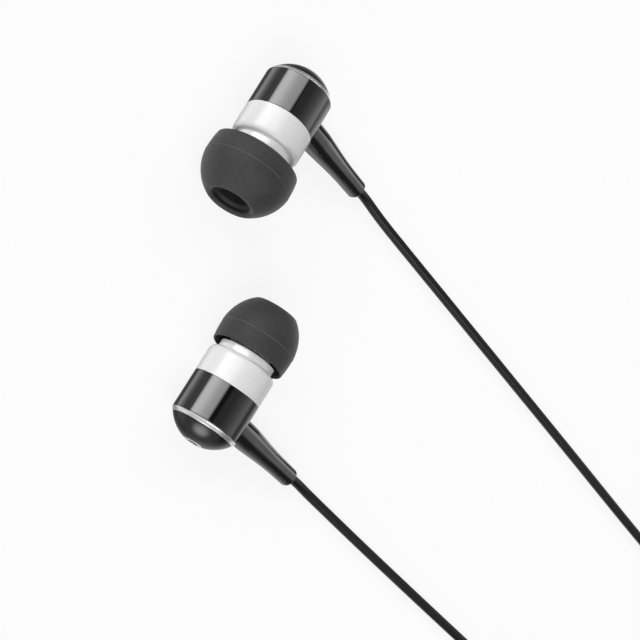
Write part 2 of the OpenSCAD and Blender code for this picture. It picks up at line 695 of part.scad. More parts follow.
module plug_tip() {
    back = pin_end - tip_part;
    stalk = ring_part + 2 * insulator_part + 2.5;
    color("silver") lay_plug() rotate_extrude() polygon([
        [0, back - stalk], [core_pin_r, back - stalk], [core_pin_r, back], [pin_r, back],
        [pin_r, back + 0.3], [pin_r - 0.5, back + 1], [pin_r - 0.5, back + 1.25],
        [pin_r, back + 1.85], [pin_r, back + 2.05], [0.55, pin_end - 0.15],
        [0.35, pin_end], [0, pin_end]]);
}

// ---------------------------------------------------------------- one piece of an earphone

module side_part(s, part) {
    if (part == "ear_tip") ear_tip(s);
    if (part == "nozzle_mesh") nozzle_mesh();
    if (part == "neck") neck();
    if (part == "front_shell") front_shell();
    if (part == "driver_cover") driver_cover();
    if (part == "diaphragm") diaphragm();
    if (part == "voice_coil") voice_coil();
    if (part == "driver_basket") driver_basket();
    if (part == "pole_plate") pole_plate();
    if (part == "magnet") magnet();
    if (part == "yoke") yoke();
    if (part == "terminal_board") terminal_board();
    if (part == "solder_wires") solder_wires(s);
    if (part == "barrel") barrel(s);
    if (part == "trim_ring") trim_ring();
    if (part == "rear_cap") rear_cap();
    if (part == "vent_eyelet") vent_eyelet();
    if (part == "vent_damper") vent_damper();
    if (part == "stem") stem(s);
    if (part == "cable_end") cable_end(s);
}

for (s = [0, 1], part = SIDE_PARTS)
    lay(s) side_part(s, part);
stretch(left_lead_route, 2, "left_lead");  // left_lead
coil(left_coil, "left_lead_coil");  // left_lead_coil
stretch(left_end_route, 2, "left_lead_end");  // left_lead_end
stretch(right_lead_route, 2, "right_lead");  // right_lead
coil(right_coil, "right_lead_coil");  // right_lead_coil
stretch(right_end_route, 2, "right_lead_end");  // right_lead_end
splitter();
stretch(main_route, 1, "main_cord");  // main_cord
coil(main_coil, "main_cord_coil");  // main_cord_coil
stretch(main_end_route, 1, "main_cord_end");  // main_cord_end
plug_relief();
plug_grip();
plug_sleeve();
plug_insulators();
plug_ring();
plug_tip();
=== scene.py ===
"""Wired in-ear earphones on a pale table: detailed pieces, materials, studio and camera.

Lengths are in millimetres until MM turns them into metres.
"""

import json
import math

import bpy
from mathutils import Matrix, Vector


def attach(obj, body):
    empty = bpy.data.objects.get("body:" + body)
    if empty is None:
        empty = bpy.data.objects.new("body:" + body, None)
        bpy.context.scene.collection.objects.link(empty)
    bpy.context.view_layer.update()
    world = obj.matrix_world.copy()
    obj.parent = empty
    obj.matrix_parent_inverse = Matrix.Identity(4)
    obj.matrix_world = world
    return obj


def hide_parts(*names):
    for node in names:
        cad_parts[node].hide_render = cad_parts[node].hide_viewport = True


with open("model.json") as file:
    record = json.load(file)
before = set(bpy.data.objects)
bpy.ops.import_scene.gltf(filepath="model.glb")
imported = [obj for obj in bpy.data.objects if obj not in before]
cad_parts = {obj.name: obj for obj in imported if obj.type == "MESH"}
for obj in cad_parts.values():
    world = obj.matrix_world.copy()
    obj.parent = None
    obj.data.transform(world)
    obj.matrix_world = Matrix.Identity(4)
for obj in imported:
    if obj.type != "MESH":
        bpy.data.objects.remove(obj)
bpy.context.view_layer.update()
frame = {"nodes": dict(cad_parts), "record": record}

MM = 0.001

# ------------------------------------------------------------------ driving sizes

# Housing. Each earphone's own Z axis starts at the barrel's rear edge and points to its tip.
BARREL_R = 5.0
BARREL_LEN = 5.75
HOUSING_WALL = 0.45
HOUSING_PLAY = 0.03
SHELL_LEN = 4.25
SHELL_FRONT = BARREL_LEN + SHELL_LEN
RING_LEN = 0.6
RING_TAPER = 0.35
DOME_RISE = 2.2
EYELET_D = 2.8
VENT_D = 1.5

# Neck and nozzle
NECK_R = 4.3
NECK_LEN = 2.0
NECK_FRONT = SHELL_FRONT + NECK_LEN
NOZZLE_LEN = 4.0
NOZZLE_FRONT = NECK_FRONT + NOZZLE_LEN
BARB_D = 5.2

# Ear tip: its length, how far its widest part lies from its rim, and the depth of the ellipse
# on which it rests
TIP_LEN = 7.6
TIP_WIDEST = 2.3
REST_DEPTH = 6.5

# Stem. Its own X axis starts on the barrel's axis, at this place, and points along the stem.
# Its end stays clear of the table.
STEM_PLACE = 2.8
STEM_LEAN = 2.3
STEM_REACH = 19.4
STEM_ROOT_W = 3.8
STEM_END_W = 2.65
STEM_CLEARANCE = 0.05

# Cord, splitter and plug
CORD_D = 1.4
CORD_R = CORD_D / 2
SPLITTER_LEN = 11.0
SPLITTER_W = 4.6
SPLITTER_H = 3.2
GRIP_D = 6.2
GRIP_LEN = 18.0
RELIEF_LEN = 8.0
PIN_D = 3.5
PIN_LEN = 14.0

# How each earphone lies: the centre of its rear edge on the ground plan, the bearing of its
# nozzle and the side on which its stem leaves. Then its tip: the diameters at its widest part
# and at its nose, how far its skirt covers the neck, and how crookedly that sits, which is the
# heading round the tip on which it leans forwards, by how much, and its shift forwards as a
# whole. Last, the stem's shift across its own axis.
SIDES = {
    "left": {"spot": (-25.18, -1.8), "bearing": -27.3, "turn": 1, "tip_d": 13.0, "nose_d": 7.0,
             "skirt_cover": 0.45, "skirt_sit": (181, 0.4, 0.1), "stem_shift": (-0.06, 0.1)},
    "right": {"spot": (21.51, -6.2), "bearing": 156.4, "turn": -1, "tip_d": 11.1, "nose_d": 6.2,
              "skirt_cover": 1.0, "skirt_sit": (148, 0.42, -0.1), "stem_shift": (0.04, -0.16)},
}


def rest_tilt(tip_d, widest):
    """Slope at which an earphone rests on its rear edge and its tip, from a guess of 4 degrees."""
    slope = math.radians(4)
    for _ in range(8):
        reach = math.hypot(tip_d / 2 * math.cos(slope), REST_DEPTH * math.sin(slope))
        slope = math.asin((reach - BARREL_R * math.cos(slope)) / widest)
    return slope


def rotation(degrees, axis):
    return Matrix.Rotation(math.radians(degrees), 4, axis)


def lay_down(facts):
    """Adds where an earphone and its stem lie, as matrices in millimetres.

    The stem drops until its end comes just above the table.
    """
    facts["rim"] = NECK_FRONT - facts["skirt_cover"]
    tilt = rest_tilt(facts["tip_d"], facts["rim"] + TIP_WIDEST)
    height = BARREL_R * math.cos(tilt)
    lean = math.radians(STEM_LEAN)
    end_place = STEM_PLACE - STEM_REACH * math.sin(lean)
    rise = height + end_place * math.sin(tilt) - STEM_END_W / 2 - STEM_CLEARANCE
    drop = math.degrees(math.asin(rise / (STEM_REACH * math.cos(lean) * math.cos(tilt))))
    place = Matrix.Translation((*facts["spot"], height))
    place = place @ rotation(facts["bearing"], "Z") @ rotation(90 - math.degrees(tilt), "Y")
    facts["place"] = place
    facts["stem"] = place @ rotation(facts["turn"] * (90 - drop), "Z")
    facts["stem"] = facts["stem"] @ Matrix.Translation((0, 0, STEM_PLACE)) @ rotation(STEM_LEAN, "Y")


for side_facts in SIDES.values():
    lay_down(side_facts)

# ------------------------------------------------------------------ materials


def new_material(name, **settings):
    """A material with its Principled shader's sockets set, its node tree and the shader."""
    material = bpy.data.materials.new(name)
    material.use_nodes = True
    shader = material.node_tree.nodes["Principled BSDF"]
    for socket, value in settings.items():
        shader.inputs[socket.replace("_", " ")].default_value = value
    return material, material.node_tree, shader


def grey(level):
    return (level, level, level, 1)


def add(tree, kind, **settings):
    """A node of one kind, with its properties and default socket values set."""
    node = tree.nodes.new(kind)
    for name, value in settings.items():
        if hasattr(node, name):
            setattr(node, name, value)
        else:
            node.inputs[name.replace("_", " ")].default_value = value
    return node


def noise(tree, scale, detail=2.0, stretch=(1, 1, 1)):
    """A noise texture in object space, at a scale per metre."""
    where = add(tree, "ShaderNodeTexCoord")
    mapping = add(tree, "ShaderNodeMapping")
    mapping.inputs["Scale"].default_value = stretch
    texture = add(tree, "ShaderNodeTexNoise", Scale=scale, Detail=detail)
    tree.links.new(where.outputs["Object"], mapping.inputs["Vector"])
    tree.links.new(mapping.outputs["Vector"], texture.inputs["Vector"])
    return texture


def bump(tree, shader, texture, height, strength):
    """Raises the surface by a texture, up to a height in metres."""
    node = add(tree, "ShaderNodeBump", Strength=strength, Distance=height)
    tree.links.new(texture.outputs["Fac"], node.inputs["Height"])
    tree.links.new(node.outputs["Normal"], shader.inputs["Normal"])


def vary(tree, shader, texture, socket, low, high):
    """Drives a socket of the shader by a texture, between two values."""
    ramp = add(tree, "ShaderNodeMapRange", From_Min=0.3, From_Max=0.7, To_Min=low, To_Max=high)
    tree.links.new(texture.outputs["Fac"], ramp.inputs["Value"])
    tree.links.new(ramp.outputs["Result"], shader.inputs[socket])


def math_node(tree, operation, *operands):
    """A sum on numbers or other nodes' outputs."""
    node = add(tree, "ShaderNodeMath", operation=operation)
    for socket, value in zip(node.inputs, operands):
        if isinstance(value, (int, float)):
            socket.default_value = value
        else:
            tree.links.new(value, socket)
    return node.outputs[0]


def tint(tree, shader, texture, dark, light):
    """Varies the base colour between two colours by a texture."""
    ramp = add(tree, "ShaderNodeValToRGB")
    ramp.color_ramp.elements[0].position = 0.3
    ramp.color_ramp.elements[0].color = dark
    ramp.color_ramp.elements[1].position = 0.7
    ramp.color_ramp.elements[1].color = light
    tree.links.new(texture.outputs["Fac"], ramp.inputs["Fac"])
    tree.links.new(ramp.outputs["Color"], shader.inputs["Base Color"])


# The tips' silicone, its seam and the inside of its bore: darkest and lightest grey
SILICONES = {
    "silicone": (0.02, 0.043),
    # The seam's lighter grey is a painted highlight along its raised ridge
    "silicone_seam_painted_highlight": (0.05, 0.085),
    # The bore's near-black grey is painted shade inside the sound hole
    "silicone_bore_painted_shade": (0.004, 0.008),
}

# Black parts: grey, roughness and index of refraction, then the relief's scale per metre, its
# detail, its height in metres and its strength
BLACKS = {
    "gloss_black": (0.005, 0.03, 2.2, 900, 1, 0.000002, 0.12),
    "dark_metal": (0.007, 0.22, 1.55, 16000, 2, 0.000006, 0.25),
    "stem_black": (0.005, 0.06, 2.2, 6000, 2, 0.000006, 0.25),
    "cord_jacket": (0.004, 0.3, 1.5, 5000, 2, 0.00002, 0.3),
    "moulded_black": (0.014, 0.42, 1.5, 9000, 2, 0.00002, 0.35),
}

# Inner parts and contacts: colour, metallic share and roughness
PLAIN = {
    "mesh_steel": (grey(0.35), 1.0, 0.35),
    "diaphragm_film": ((0.35, 0.37, 0.4, 1), 0.0, 0.4),
    "copper_wire": ((0.72, 0.35, 0.18, 1), 1.0, 0.35),
    "basket_plastic": (grey(0.02), 0.0, 0.5),
    "driver_steel": (grey(0.5), 1.0, 0.3),
    "magnet_metal": (grey(0.35), 1.0, 0.3),
    "board_laminate": ((0.02, 0.12, 0.04, 1), 0.0, 0.45),
    "damper_felt": (grey(0.012), 0.0, 0.95),
    "contact_metal": ((0.8, 0.78, 0.72, 1), 1.0, 0.16),
}


def make_silicone(name, dark, light):
    """Matte silicone with a fine grain."""
    material, tree, shader = new_material(
        name, Roughness=0.56, Specular_IOR_Level=0.38, Sheen_Weight=0.2, Sheen_Roughness=0.45
    )
    tint(tree, shader, noise(tree, 4200, 4), grey(dark), grey(light))
    bump(tree, shader, noise(tree, 5200, 4), 0.00006, 0.6)
    return material


def make_black(name, level, roughness, ior, scale, detail, height, strength):
    """One dark grey with a fine relief."""
    material, tree, shader = new_material(name, Base_Color=grey(level), Roughness=roughness, IOR=ior)
    bump(tree, shader, noise(tree, scale, detail), height, strength)
    return material


def make_pearl_shell():
    """Off-white lacquer with a soft gloss."""
    material, tree, shader = new_material("pearl_shell", Roughness=0.22, IOR=1.75)
    tint(tree, shader, noise(tree, 14000, 2), grey(0.73), grey(0.8))
    bump(tree, shader, noise(tree, 20000, 2), 0.000004, 0.2)
    return material


def make_chrome_trim():
    """Satin chrome of the trim rings and eyelets."""
    material, tree, shader = new_material(
        "chrome_trim", Base_Color=grey(0.84), Metallic=0.76, Roughness=0.2
    )
    vary(tree, shader, noise(tree, 2500, 3), "Roughness", 0.18, 0.22)
    return material


def make_neck_painted_reflection():
    """Chrome of the necks: a white base, which is a painted reflection of bright surroundings, under a
    strong, clear reflection.
    """
    material, tree, shader = new_material(
        "neck_painted_reflection", Base_Color=grey(0.99), Metallic=0.0, Roughness=0.07, IOR=2.5
    )
    vary(tree, shader, noise(tree, 2500, 3, (1, 1, 4)), "Roughness", 0.05, 0.1)
    return material


def make_plain(name, colour, metallic, roughness):
    """One colour with a slightly uneven gloss."""
    material, tree, shader = new_material(
        name, Base_Color=colour, Metallic=metallic, Roughness=roughness
    )
    vary(tree, shader, noise(tree, 4000, 3), "Roughness", roughness * 0.85, roughness * 1.15)
    return material


MATERIALS = {
    "pearl_shell": make_pearl_shell(),
    "chrome_trim": make_chrome_trim(),
    "neck_painted_reflection": make_neck_painted_reflection(),
}
for maker, table in ((make_silicone, SILICONES), (make_black, BLACKS), (make_plain, PLAIN)):
    for name, values in table.items():
        MATERIALS[name] = maker(name, *values)

SLOT_OF = {entry["node"]: entry["material_slot"] for entry in frame["record"]["subparts"]}
for node_name, cad_object in frame["nodes"].items():
    cad_object.data.materials.clear()
    cad_object.data.materials.append(MATERIALS[SLOT_OF[node_name]])

# ------------------------------------------------------------------ making pieces

# Edges that turn by more than this stay crisp
CREASE = math.radians(32)
# A fillet takes at most this share of the edges beside it, and a point this share of the
# fillet beyond its ends keeps the flat parts flat
FILLET_SHARE = 0.45
SUPPORT_SHARE = 0.12
FILLET_STEPS = 5
# Outline points nearer to the axis than this lie on it
ON_AXIS = 1e-5


def finish_piece(piece, slot, body, *nodes, look=None):
    """Gives a piece its material, the CAD nodes that it stands for and its body."""
    piece.data.materials.clear()
    piece.data.materials.append(MATERIALS[look or slot])
    if nodes:
        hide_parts(*nodes)
    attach(piece, body)
    return piece


def mesh_piece(name, points, faces, matrix=Matrix.Identity(4)):
    """An object from points in millimetres, placed by a matrix in millimetres."""
    mesh = bpy.data.meshes.new(name)
    mesh.from_pydata([matrix @ Vector(p) * MM for p in points], [], faces)
    mesh.validate()
    mesh.polygons.foreach_set("use_smooth", [True] * len(mesh.polygons))
    mesh.set_sharp_from_angle(angle=CREASE)
    mesh.update()
    piece = bpy.data.objects.new(name, mesh)
    bpy.context.scene.collection.objects.link(piece)
    return piece


def soften(corners, closed=True):
    """Turns (r, z, fillet) corners into an outline with small arcs and support points."""
    out = []
    count = len(corners)
    for i, (r, z, fillet) in enumerate(corners):
        here = Vector((r, z))
        before = Vector(corners[i - 1][:2]) - here
        after = Vector(corners[(i + 1) % count][:2]) - here
        open_end = not closed and i in (0, count - 1)
        cut = min(fillet, FILLET_SHARE * before.length, FILLET_SHARE * after.length)
        if open_end or cut <= 0:
            out.append((r, z))
            continue
        start = here + before.normalized() * cut
        end = here + after.normalized() * cut
        out.append(tuple(start + before.normalized() * SUPPORT_SHARE * cut))
        for k in range(FILLET_STEPS + 1):
            t = k / FILLET_STEPS
            out.append(tuple((1 - t) ** 2 * start + 2 * t * (1 - t) * here + t * t * end))
        out.append(tuple(end + after.normalized() * SUPPORT_SHARE * cut))
    return out


def lathe(name, outline, matrix, closed=True, segments=160):
    """A surface of revolution about the local Z axis, from (r, z) points in clockwise order."""
    count = len(outline)
    points, faces, rows = [], [], []
    for r, z in outline:
        if r < ON_AXIS:
            rows.append([len(points)] * segments)
            points.append((0, 0, z))
            continue
        rows.append(list(range(len(points), len(points) + segments)))
        for k in range(segments):
            angle = 2 * math.pi * k / segments
            points.append((r * math.cos(angle), r * math.sin(angle), z))
    for i in range(count if closed else count - 1):
        a, b = rows[i], rows[(i + 1) % count]
        for k in range(segments):
            face = [a[k], a[(k + 1) % segments], b[(k + 1) % segments], b[k]]
            face = list(dict.fromkeys(face))
            if len(face) > 2:
                faces.append(face)
    return mesh_piece(name, points, faces, matrix)


def turn(name, corners, matrix, closed=True, segments=160):
    """A turned part, from (r, z, fillet) corners in anticlockwise order."""
    return lathe(name, soften(corners, closed)[::-1], matrix, closed, segments)


def arc(centre, radius, start, end, steps):
    """Points of an arc in the (r, z) plane, with angles in degrees."""
    points = []
    for k in range(steps + 1):
        angle = math.radians(start + (end - start) * k / steps)
        points.append((centre[0] + radius * math.cos(angle), centre[1] + radius * math.sin(angle)))
    return points


def join_rings(starts, count):
    """Quads between rings of count points, each ring given by its first point's index."""
    faces = []
    for a, b in zip(starts, starts[1:]):
        for k in range(count):
            n = (k + 1) % count
            faces.append((a + k, a + n, b + n, b + k))
    return faces


# ------------------------------------------------------------------ housing


def make_barrel(side, place):
    """The black barrel with the spigot that carries the front shell."""
    bore = BARREL_R - HOUSING_WALL
    spigot = bore - HOUSING_PLAY
    spigot_bore = spigot - HOUSING_WALL
    spigot_end = BARREL_LEN + 0.9
    corners = [
        (bore, 0, 0.05),
        (BARREL_R, 0, 0.1),
        (BARREL_R, BARREL_LEN, 0.05),
        (spigot, BARREL_LEN, 0),
        (spigot, spigot_end, 0.05),
        (spigot_bore, spigot_end, 0.05),
        (spigot_bore, BARREL_LEN - 0.4, 0),
        (bore, BARREL_LEN - 0.8, 0),
    ]
    piece = turn(f"{side}_barrel_gloss", corners, place)
    finish_piece(piece, "gloss_black", "headset", f"{side}_barrel")


def make_shell(side, place):
    """The pearl front shell, whose rounded shoulder closes in on the neck."""
    bore = BARREL_R - HOUSING_WALL
    bore_middle = 7.5
    back = BARREL_LEN + 0.02
    web = 8.85
    hole = NECK_R + HOUSING_PLAY
    shoulder = 0.85
    inset = BARREL_R - hole - 0.1
    curve = []
    for angle in range(0, 91, 6):
        r = BARREL_R - inset * (1 - math.cos(math.radians(angle)))
        curve.append((r, SHELL_FRONT - shoulder + shoulder * math.sin(math.radians(angle))))
    start = soften(
        [
            (bore, bore_middle, 0),
            (bore, back, 0.03),
            (BARREL_R, back, 0.05),
            (BARREL_R, SHELL_FRONT - shoulder - 0.02, 0),
        ],
        closed=False,
    )
    inner = [(hole, SHELL_FRONT - 0.03), (hole, web), (bore, web)]
    piece = lathe(f"{side}_shell_pearl", (start + curve + inner)[::-1], place)
    finish_piece(piece, "pearl_shell", "headset", f"{side}_front_shell")


def make_trim_ring(side, place):
    """The bright ring between the barrel and its cap, tapered to the rear."""
    inside = BARREL_R - 0.9
    corners = [
        (inside, -0.02, 0.03),
        (inside, -RING_LEN, 0.03),
        (BARREL_R - RING_TAPER, -RING_LEN, 0.07),
        (BARREL_R - 0.05, -0.14, 0.12),
        (BARREL_R - 0.03, -0.03, 0.03),
    ]
    piece = turn(f"{side}_trim_ring_polished", corners, place)
    finish_piece(piece, "chrome_trim", "headset", f"{side}_trim_ring")


def make_cap(side, place):
    """The domed rear cap with the vent's hole in its flat top."""
    base = BARREL_R - RING_TAPER - 0.05
    flat = EYELET_D / 2
    foot = -RING_LEN - 0.02
    top = foot - DOME_RISE
    centre = (base**2 - flat**2 - DOME_RISE**2) / (2 * DOME_RISE)
    radius = math.hypot(base, centre)
    edge_angle = math.degrees(math.asin(base / radius)) - 90
    top_angle = math.degrees(math.asin(flat / radius)) - 90
    dome = arc((0, foot + centre), radius, edge_angle, top_angle, steps=28)
    hole = VENT_D / 2 + 0.23
    spigot = [(base - 0.35, 0.3), (base - 0.35, -RING_LEN + 0.01), (base - 0.03, -RING_LEN + 0.01)]
    hollow = [(hole, top), (hole, top + 0.5), (base - 0.9, -0.2), (base - 0.85, 0.3)]
    piece = lathe(f"{side}_cap_domed", spigot + dome + hollow, place)
    finish_piece(piece, "dark_metal", "headset", f"{side}_rear_cap")


def make_eyelet(side, place):
    """The vent's chrome eyelet, flush with the cap, and the felt disc in its mouth."""
    face = -RING_LEN - DOME_RISE - 0.04
    rim = EYELET_D / 2
    hole = VENT_D / 2
    tube = hole + 0.2
    corners = [
        (hole, face + 0.95, 0.02),
        (hole, face - 0.03, 0.02),
        (hole + 0.08, face - 0.08, 0.03),
        (rim - 0.25, face - 0.08, 0.06),
        (rim, face + 0.03, 0.04),
        (rim, face + 0.1, 0.02),
        (tube, face + 0.1, 0.02),
        (tube, face + 0.95, 0.02),
    ]
    piece = turn(f"{side}_eyelet_rolled", corners, place, segments=96)
    finish_piece(piece, "chrome_trim", "headset", f"{side}_vent_eyelet")
    felt = hole - 0.01
    low, high = face - 0.04, face + 0.8
    corners = [(0, low, 0), (felt, low, 0.02), (felt, high, 0.05), (0, high, 0)]
    piece = turn(f"{side}_damper_felt_disc", corners, place, closed=False, segments=64)
    finish_piece(piece, "damper_felt", "headset", f"{side}_vent_damper")


def make_neck(side, place):
    """The chrome neck: a flange inside the shell, the collar that shows and the barbed nozzle."""
    bore = 1.9
    seat = bore + 0.15
    seat_back = NOZZLE_FRONT - 0.3
    nozzle = 2.35
    barb = BARB_D / 2
    boss = 3.2
    flange = 4.5
    flange_back = 8.4
    flange_front = 8.8
    collar = NECK_R - 0.17
    groove = collar - 0.12
    front = NECK_FRONT - 0.82
    lines = []
    for z in (front - 0.3, front - 0.16):
        lines += [(collar, z - 0.03, 0), (collar - 0.03, z, 0), (collar, z + 0.03, 0)]
    back_corners = [
        (bore + 1.2, flange_back, 0.02),
        (flange, flange_back, 0.02),
        (flange, flange_front, 0.02),
        (NECK_R, flange_front, 0),
        (NECK_R, SHELL_FRONT - 0.02, 0.03),
        (groove, SHELL_FRONT, 0.03),
        (groove, SHELL_FRONT + 0.13, 0.03),
        (collar, SHELL_FRONT + 0.18, 0.03),
    ]
    front_corners = [
        (collar, front, 0.06),
        (collar - 0.2, front + 0.1, 0.04),
        (boss, front + 0.1, 0.05),
        (boss, NECK_FRONT, 0.05),
        (nozzle, NECK_FRONT, 0.1),
        (nozzle, NOZZLE_FRONT - 1.1, 0.05),
        (barb, NOZZLE_FRONT - 0.8, 0.04),
        (barb, NOZZLE_FRONT - 0.5, 0.1),
        (nozzle - 0.1, NOZZLE_FRONT, 0.05),
        (seat, NOZZLE_FRONT, 0.03),
        (seat, seat_back, 0.02),
        (bore, seat_back, 0.02),
        (bore, NECK_FRONT, 0.1),
    ]
    piece = turn(f"{side}_neck_chrome", back_corners + lines + front_corners, place)
    # The neck's white base is a painted reflection that stands in for mirrored surroundings
    finish_piece(piece, "chrome_trim", "headset", f"{side}_neck", look="neck_painted_reflection")


# ------------------------------------------------------------------ ear tip

# The seam lies this far in front of the widest part and stands proud of the skirt
SEAM_PLACE = 0.5
SEAM_STEP = 0.035
# The ellipse of the skirt's rear, and the wall, which thickens from its rim over a run
SKIRT_DEPTH = 9.0
RIM_WALL = 0.26
ROOF_WALL = 0.6
WALL_RUN = 2.6
# The radius of the rounded lip at the nose
LIP = 0.5
# The skirt's lean fades to nothing towards the nose and within this radius
SKIRT_ROOT_R = 3.6


def dome_outline(wide, widest, depth, nose_angle, seam, steps=48):
    """A tip's outside from its widest part to its nose, stepping up at a fine raised seam."""
    dome = []
    for k in range(steps + 1):
        angle = math.radians(k / steps * (90 - nose_angle))
        r, z = wide * math.cos(angle), widest + depth * math.sin(angle)
        if z > seam + 0.08:
            dome.append((r, z))
        elif z < seam - 0.11:
            dome.append((r - SEAM_STEP, z))
    over = next(i for i, (_, z) in enumerate(dome) if z > seam)
    edge = dome[over][0]
    dome[over:over] = [
        (edge - SEAM_STEP, seam - 0.09),
        (edge + 0.02, seam - 0.05),
        (edge + 0.02, seam + 0.05),
        (edge + 0.002, seam + 0.07),
    ]
    return dome


def skirt_outside(wide, widest, steps=12):
    """The skirt's outside from the widest part back to its rim."""
    skirt = []
    for k in range(1, steps + 1):
        z = widest - (TIP_WIDEST - 0.2) * k / steps
        skirt.append(((wide - SEAM_STEP) * math.sqrt(1 - ((z - widest) / SKIRT_DEPTH) ** 2), z))
    return skirt


def skirt_inside(wide, rim, depth, roof, steps=14):
    """The skirt's inside from its thin rim to its roof."""
    widest = rim + TIP_WIDEST
    inside = []
    for k in range(steps + 1):
        z = rim + 0.12 + (roof - 0.52 - rim) * k / steps
        reach = depth - ROOF_WALL if z > widest else SKIRT_DEPTH
        wall = RIM_WALL + (ROOF_WALL - RIM_WALL) * min((z - rim) / WALL_RUN, 1)
        inside.append(((wide - wall) * math.sqrt(1 - ((z - widest) / reach) ** 2), z))
    return inside


def tip_looks(piece, wide, seam, mouth, lip_z):
    """Which material each face has: 0 is the silicone, 1 its seam, lighter as a painted highlight, and
    2 its bore, near black as painted shade.
    """
    looks = []
    for face in piece.data.polygons:
        r, z = face.center.xy.length / MM, face.center.z / MM
        if r > wide - 1.2 and abs(z - seam) < 0.08:
            looks.append(1)
        elif r < mouth + 0.02 and NOZZLE_FRONT < z < lip_z + 0.05:
            looks.append(2)
        else:
            looks.append(0)
    return looks


def seat_tip(piece, facts):
    """Leans the skirt a little on its neck and puts the tip in its place."""
    heading, slope, shift = facts["skirt_sit"]
    wide = facts["tip_d"] / 2
    nose_start = facts["rim"] + TIP_LEN - 1
    towards = Vector((math.cos(math.radians(heading)), math.sin(math.radians(heading)), 0))
    for vertex in piece.data.vertices:
        p = vertex.co / MM
        rearward = min(max((nose_start - p.z) / (TIP_LEN - 1), 0), 1)
        outward = min(max(p.xy.length - SKIRT_ROOT_R, 0), 1)
        p.z += rearward * outward * (shift + slope * p.dot(towards) / wide)
        vertex.co = (facts["place"] @ p) * MM
    piece.data.update()


def make_ear_tip(side, facts):
    """The silicone tip: a hollow skirt, a core tube over the nozzle and a rounded nose."""
    wide = facts["tip_d"] / 2
    nose = facts["nose_d"] / 2
    rim = facts["rim"]
    widest = rim + TIP_WIDEST
    front_end = rim + TIP_LEN
    depth = (TIP_LEN - TIP_WIDEST) / math.sqrt(1 - (nose / wide) ** 2)
    seam = widest + SEAM_PLACE

    # The lip's arc meets the dome without a crease, where the dome leans by this angle
    nose_end = front_end - 0.12
    nose_angle = math.degrees(math.acos((nose_end - widest) / depth))
    nose_r = wide * math.sin(math.radians(nose_angle))
    lean = math.degrees(math.atan2((nose_end - widest) / depth**2, nose_r / wide**2))
    lip_r = nose_r - LIP * math.cos(math.radians(lean))
    lip_z = nose_end - LIP * math.sin(math.radians(lean))
    lip = arc((lip_r, lip_z), LIP, lean, 180, steps=14)[1:]
    mouth = lip_r - LIP

    dome = dome_outline(wide, widest, depth, nose_angle, seam)
    skirt = skirt_outside(wide, widest)
    roof = front_end - 2.1
    inside = skirt_inside(wide, rim, depth, roof)
    rim_out, rim_in = skirt[-1][0], inside[0][0]
    rim_edge = [
        (rim_out - 0.015, rim + 0.1),
        (rim_out - 0.05, rim + 0.035),
        (rim_out - 0.11, rim),
        (rim_in + 0.09, rim),
        (rim_in + 0.02, rim + 0.05),
    ]
    bore = BARB_D / 2 + 0.05
    core = bore + 0.75
    mouth_bore = bore - 0.35
    core_tube = [
        (inside[-1][0] - 0.4, roof),
        (core + 0.3, roof),
        (core, roof - 0.3),
        (core, NECK_FRONT + 0.3),
        (core - 0.2, NECK_FRONT + 0.03),
        (bore, NECK_FRONT + 0.03),
        (bore, NOZZLE_FRONT + 0.02),
        (mouth_bore, NOZZLE_FRONT + 0.32),
        (mouth_bore, front_end - 1.6),
        (mouth_bore + 0.1, front_end - 1.2),
        (mouth - 0.02, lip_z - 0.3),
    ]
    outline = dome[::-1] + skirt + rim_edge + inside + core_tube + lip[::-1]
    piece = lathe(f"{side}_ear_tip_silicone", outline, Matrix.Identity(4), segments=192)
    looks = tip_looks(piece, wide, seam, mouth, lip_z)
    seat_tip(piece, facts)
    finish_piece(piece, "silicone", f"{side}_tip", f"{side}_ear_tip")
    # The seam's lighter silicone is a painted highlight
    piece.data.materials.append(MATERIALS["silicone_seam_painted_highlight"])
    # The bore's near-black silicone is painted shade
    piece.data.materials.append(MATERIALS["silicone_bore_painted_shade"])
    piece.data.polygons.foreach_set("material_index", looks)


# ------------------------------------------------------------------ stem

# The section is fuller than the stem's width by this factor, and a squareness of 2 would make
# it a circle. The stem starts inside the barrel, by this share of its visible length.
STEM_FULLNESS = 1.06
STEM_SQUARENESS = 2.15
STEM_SINK = 0.2
STEM_END_ROUND = 0.45
STEM_STEPS = 44
STEM_SIDES = 96
# How much wider than at its end the stem is, from its root (place 0) to its end (place 1)
STEM_FLARE = (
    (0, 1), (0.1, 1), (0.22, 0.96), (0.35, 0.72), (0.48, 0.44), (0.61, 0.22), (0.74, 0.08),
    (0.95, 0), (1, 0),
)


def flare_at(place):
    for (x0, f0), (x1, f1) in zip(STEM_FLARE, STEM_FLARE[1:]):
        if place <= x1:
            t = (place - x0) / (x1 - x0)
            return f0 + (f1 - f0) * t
    return STEM_FLARE[-1][1]


def stem_section(width):
    """A rounded form between a circle and a square, as points across the stem."""
    points = []
    for k in range(STEM_SIDES):
        angle = 2 * math.pi * k / STEM_SIDES
        c, d = math.cos(angle), math.sin(angle)
        square = (abs(c) ** STEM_SQUARENESS + abs(d) ** STEM_SQUARENESS) ** (1 / STEM_SQUARENESS)
        r = width / 2 / square
        points.append((r * c, r * d))
    return points


